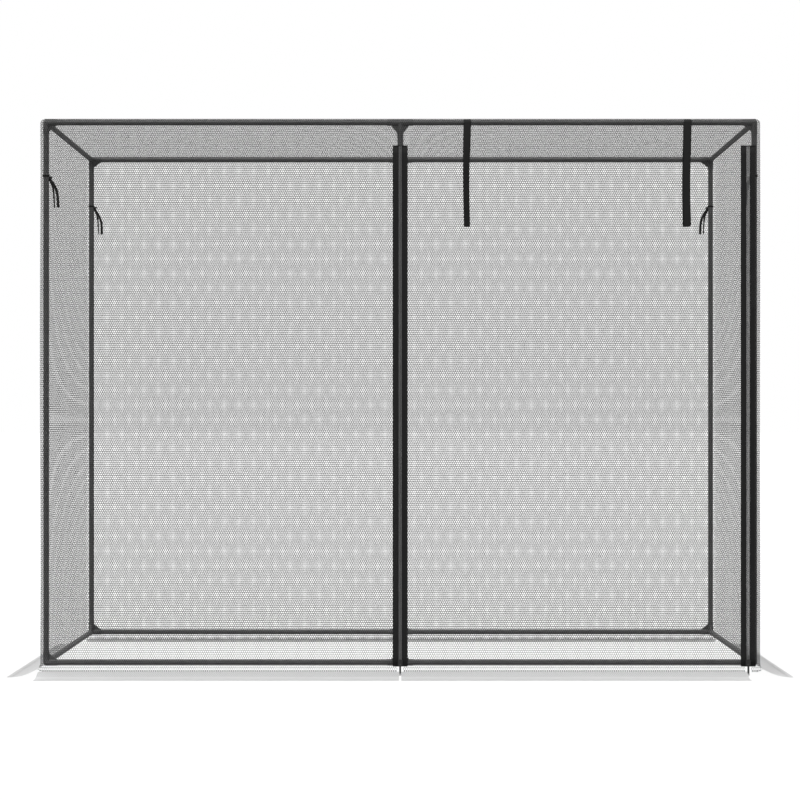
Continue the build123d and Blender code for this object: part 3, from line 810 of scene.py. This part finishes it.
# At the top, the fixed tape's bar goes on across the coil and closes it.
for place, middle_x, door_way in (("centre", 0.0, 1), ("right", RIGHT_ZIP_X, -1)):
    for half, way in (("fixed", -door_way), ("door", door_way)):
        begin = TAPE_EDGE + 0.5 * MM
        top_begin = -TAPE_EDGE if half == "fixed" else begin
        tape = piece(
            f"zip_{place}_tape_{half}_cloth",
            [
                tape_grid(middle_x, way, ZIP_BOTTOM, ZIP_TOP),
                end_bar(middle_x, way, ZIP_TOP - 1.8 * MM, 3.6 * MM, top_begin),
                end_bar(middle_x, way, ZIP_BOTTOM + 1.8 * MM, 3.6 * MM, begin),
            ],
            zip_cloth,
            ROOT,
            [f"zip_{place}_tape_{half}"],
        )
        coil = piece(
            f"zip_{place}_coil_{half}_wire",
            [coil_grid(middle_x, way, ZIP_BOTTOM, ZIP_TOP, 0.0 if half == "fixed" else 0.5)],
            coil_nylon,
            ROOT,
            [f"zip_{place}_coil_{half}"],
        )
        if half == "door":
            for cloth in (tape, coil):
                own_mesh(cloth)

# %% [markdown]
# ## Roll-up straps
#
# Four straps of 25 mm webbing hang from the top edge, two in front of the door and two behind it, and
# are tied together round the rolled door. Webbing is stiff across and limp along, so a hanging strap
# sways and turns a little but never stretches. Each is a flat section carried down a path, with its
# lower end cut and melted to rounded corners. As an outer strap turns it moves away from the net, to
# stay clear of it.


# %% Strap shape
def strap_grid(path, turn, width, thick):
    """Flat section with the width turned about the upright by turn, and a 3 mm round at the last end."""
    sideways = np.stack([np.cos(turn), np.sin(turn), np.zeros_like(turn)], -1)
    left = np.concatenate([np.cumsum(np.linalg.norm(np.diff(path[::-1], axis=0), axis=1))[::-1], [0]])
    corner = 3 * MM
    short = np.clip(corner - left, 0, corner)
    scale = 1 - (corner - np.sqrt(corner**2 - short**2)) / (width / 2)
    return sweep(path, width, thick, sideways, sides=20, ends=scale)


def hang(x, y, top, bottom, sways, count=70):
    """Straight down with the sideways sway given at evenly spaced heights, joined by a smooth curve."""
    level = np.concatenate([np.linspace(0, 0.985, count - 8), 0.985 + 0.015 * np.linspace(0, 1, 9)[1:]])
    z = top + (bottom - top) * level
    knots = np.linspace(0, 1, len(sways))
    fine = np.interp(np.linspace(0, 1, 200), knots, sways)
    smooth = np.convolve(np.pad(fine, 20, mode="edge"), np.ones(41) / 41, mode="valid")
    sway = np.interp(level, np.linspace(0, 1, len(smooth)), smooth)
    return np.stack([x + sway, np.full_like(z, y), z], -1), level


STRAP_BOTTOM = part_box("strap_outer_left")[0][2]
outer_y = (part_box("strap_outer_left")[0][1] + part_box("strap_outer_left")[1][1]) / 2
STRAPS = (  # side, x, width in mm, sideways sway in mm and turn in degrees at even steps downwards
    ("left", 0.2235, 25.0, (2.0, 0.8, -1.6, -1.8, -0.7, 1.2), (0, 12, 30, 36, 37, 34)),
    ("right", 0.966, 25.0, (0.0, -1.6, -3.9, -4.8, -4.2, -2.2), (0, 4, 8, 10, 8, 5)),
)
for side, x, width, sways, turns in STRAPS:
    path, level = hang(x, outer_y, ROOF_Z - 6 * MM, STRAP_BOTTOM, np.array(sways) * MM)
    turn = np.radians(np.interp(level, np.linspace(0, 1, len(turns)), turns))
    path[:, 1] -= width / 2 * MM * np.sin(turn)
    piece(
        f"strap_outer_{side}_webbing",
        [strap_grid(path, turn, width * MM, 1.0 * MM)],
        strap_cloth,
        f"{side}_outer_strap",
        [f"strap_outer_{side}"],
    )

# %% Inner straps
low, high = (np.array(corner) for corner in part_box("rail_top_front_left"))
rail_y, rail_z = ((low + high) / 2)[1:]
over = 10.3 * MM  # middle of the rail to the middle of the webbing that lies over it
for side, x, width, sways, turns in STRAPS:
    around = np.linspace(np.pi, 0, 24)
    ring_x = np.full(24, x + sways[0] * MM)
    ring = np.stack([ring_x, rail_y + over * np.cos(around), rail_z + over * np.sin(around)], -1)
    drop, level = hang(x, rail_y + over, rail_z - 4 * MM, STRAP_BOTTOM, np.array(sways) * MM)
    turn = np.radians(np.interp(level, np.linspace(0, 1, len(turns)), turns))
    path, turn = np.concatenate([ring, drop]), np.concatenate([np.zeros(24), turn])
    piece(
        f"strap_inner_{side}_webbing",
        [strap_grid(path, turn, width * MM, 1.0 * MM)],
        strap_cloth,
        f"{side}_inner_strap",
        [f"strap_inner_{side}"],
    )

# %% [markdown]
# ## Post ties
#
# A narrow tape is tied round each corner post to hold the net's corner in. The band is bunched thin by
# the pull, the knot is a plain overhand knot, and two loose tails hang from it. The outer tail shows its
# face all the way down, and the inner one turns its edge to the front as it falls.

# %% Ties
post_x, post_y = (np.array(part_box("post_front_right")[0]) + np.array(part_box("post_front_right")[1]))[:2] / 2
post_y = abs(post_y)
TIE_Z = 1.685  # height of the band round the post


# Points (inwards from the post's middle, below the band) in mm, then the first and last share of its face
OUTER_TAIL = ((9, 3), (13, 12), (20, 21.5), (28, 33.6), (35, 49), (38.9, 67), (39.7, 90), (40, 111.7))
INNER_TAIL = ((9, 3), (12, 13), (17.8, 25), (22.2, 38), (24.2, 50), (25.8, 73), (26.8, 93), (27.5, 111.7))
TAILS = ((OUTER_TAIL, (0.85, 1.0)), (INNER_TAIL, (0.7, 0.15)))


def smoothed(line):
    """Each coordinate's average over 25 neighbouring points, with the ends held."""
    padded = np.pad(line, ((12, 12), (0, 0)), mode="edge")
    return np.stack([np.convolve(padded[:, k], np.ones(25) / 25, "valid") for k in (0, 1)], -1)


def tie(x_way, y_way):
    """Band: a ring round the post. Knot: the trefoil (sin t + 2 sin 2t, cos t - 2 cos 2t, -sin 3t).
    Tails: a smooth line through the points in TAILS, turning evenly on the way down from the first share
    of its face to the last."""
    centre = np.array([x_way * post_x, y_way * post_y, TIE_Z])
    t = np.linspace(0, 2 * np.pi, 40)
    band = centre + np.stack([11 * MM * np.cos(t), 11 * MM * np.sin(t), 0.6 * MM * np.sin(2 * t)], -1)
    parts = [sweep(band, 6 * MM, 1.8 * MM, (0, 0, 1), sides=8)]
    t = np.linspace(0, 2 * np.pi, 56)
    knot = np.stack([np.sin(t) + 2 * np.sin(2 * t), -np.sin(3 * t), np.cos(t) - 2 * np.cos(2 * t)], -1)
    knot = centre + [-x_way * 15.5 * MM, 0, -6 * MM] + knot * np.array([1.7, 2.0, 1.9]) * MM
    parts.append(sweep(knot, 4.2 * MM, 1.8 * MM, (0.2, 1, 0.3), sides=8))
    for points, shows in TAILS:
        points = np.array(points) * MM
        fine = np.linspace(0, len(points) - 1, 120)
        line = np.stack([np.interp(fine, np.arange(len(points)), points[:, k]) for k in (0, 1)], -1)
        line = smoothed(line)[::3]
        inwards, down = line[:, 0], line[:, 1]
        path = centre + np.stack([-x_way * inwards, 3 * MM * (1 - shows[1]) + 0 * inwards, -down], -1)
        face = np.linspace(*shows, len(path)) * np.pi / 2
        sideways = np.stack([-x_way * np.sin(face), np.cos(face), 0.0 * face], -1)
        parts.append(sweep(path, 9.0 * MM, 1.0 * MM, sideways, sides=10))
    return parts


tie_parts = [part for x_way in (-1, 1) for y_way in (-1, 1) for part in tie(x_way, y_way)]
piece("post_ties_tape", tie_parts, tie_cloth, ROOT, ["post_ties"])

# %% [markdown]
# ## Finishes of the CAD parts
#
# Tubes, fittings, sliders and pulls keep their CAD shape and get the materials made above.

# %% Give the CAD nodes their finish
for name, part in nodes.items():
    if name.startswith(("rail", "post_front", "post_back")):
        finish = steel
    elif name.startswith("fitting"):
        finish = fitting_plastic
    elif name.endswith("_slider"):
        finish = slider_enamel
    elif name.endswith("_pull"):
        finish = pull_nylon
    else:
        continue
    part.data.materials.clear()
    part.data.materials.append(finish)
print("finished CAD nodes")

# %% [markdown]
# ## Floor and light
#
# A white studio, as for a catalogue. The floor is a sheet of acrylic lit from below, so that it looks
# white and the net reads as dark yarn on white. Its own colour is kept dark, so that its light is the
# glow and the cage casts hardly any shadow on it. Most of the light that models the tubes comes from
# above: a bright ceiling that gets dimmer towards the horizon, and a large soft lamp high on the left
# and in front. The camera sees the backdrop itself as plain white, and the floor a little under it.

# %% Floor
floor_mesh = bpy.data.meshes.new("floor")
floor_mesh.from_pydata([(-60, -30, 0), (60, -30, 0), (60, 150, 0), (-60, 150, 0)], [], [(0, 1, 2, 3)])
floor = bpy.data.objects.new("floor", floor_mesh)
bpy.context.scene.collection.objects.link(floor)
acrylic, acrylic_surface, _ = start("white_acrylic", "#3f3f3f", 0.9)
acrylic_surface.inputs["Specular IOR Level"].default_value = 0.1
acrylic_surface.inputs["Emission Color"].default_value = (1.0, 1.0, 1.0, 1.0)
seen = add(acrylic, "LightPath").outputs["Is Camera Ray"]
link(acrylic, add(acrylic, "Math.MULTIPLY_ADD", seen, 0.66, 0.3), acrylic_surface.inputs["Emission Strength"])
floor_mesh.materials.append(acrylic)

# %% Light
world = bpy.data.worlds.new("white_studio")
world.use_nodes = True
background = world.node_tree.nodes["Background"]
up = add(world, "SeparateXYZ", Vector=add(world, "TexCoord").outputs["Generated"]).outputs[2]
ceiling = add(world, "MapRange", Value=up, From_Min=0.0, From_Max=0.8, To_Min=0.3, To_Max=1.5)
seen = add(world, "LightPath").outputs["Is Camera Ray"]
strength = add(world, "Math.MAXIMUM", add(world, "Math.SUBTRACT", ceiling, seen), seen)
link(world, strength, background.inputs["Strength"])
background.inputs["Color"].default_value = (1.0, 1.0, 1.0, 1.0)
bpy.context.scene.world = world
sun_data = bpy.data.lights.new("soft_key", "SUN")
sun_data.energy = 1.2
sun_data.angle = np.radians(35)
sun = bpy.data.objects.new("soft_key", sun_data)
sun.rotation_euler = (np.radians(38), 0.0, np.radians(-28))
bpy.context.scene.collection.objects.link(sun)
bpy.context.scene.view_settings.view_transform = "Standard"
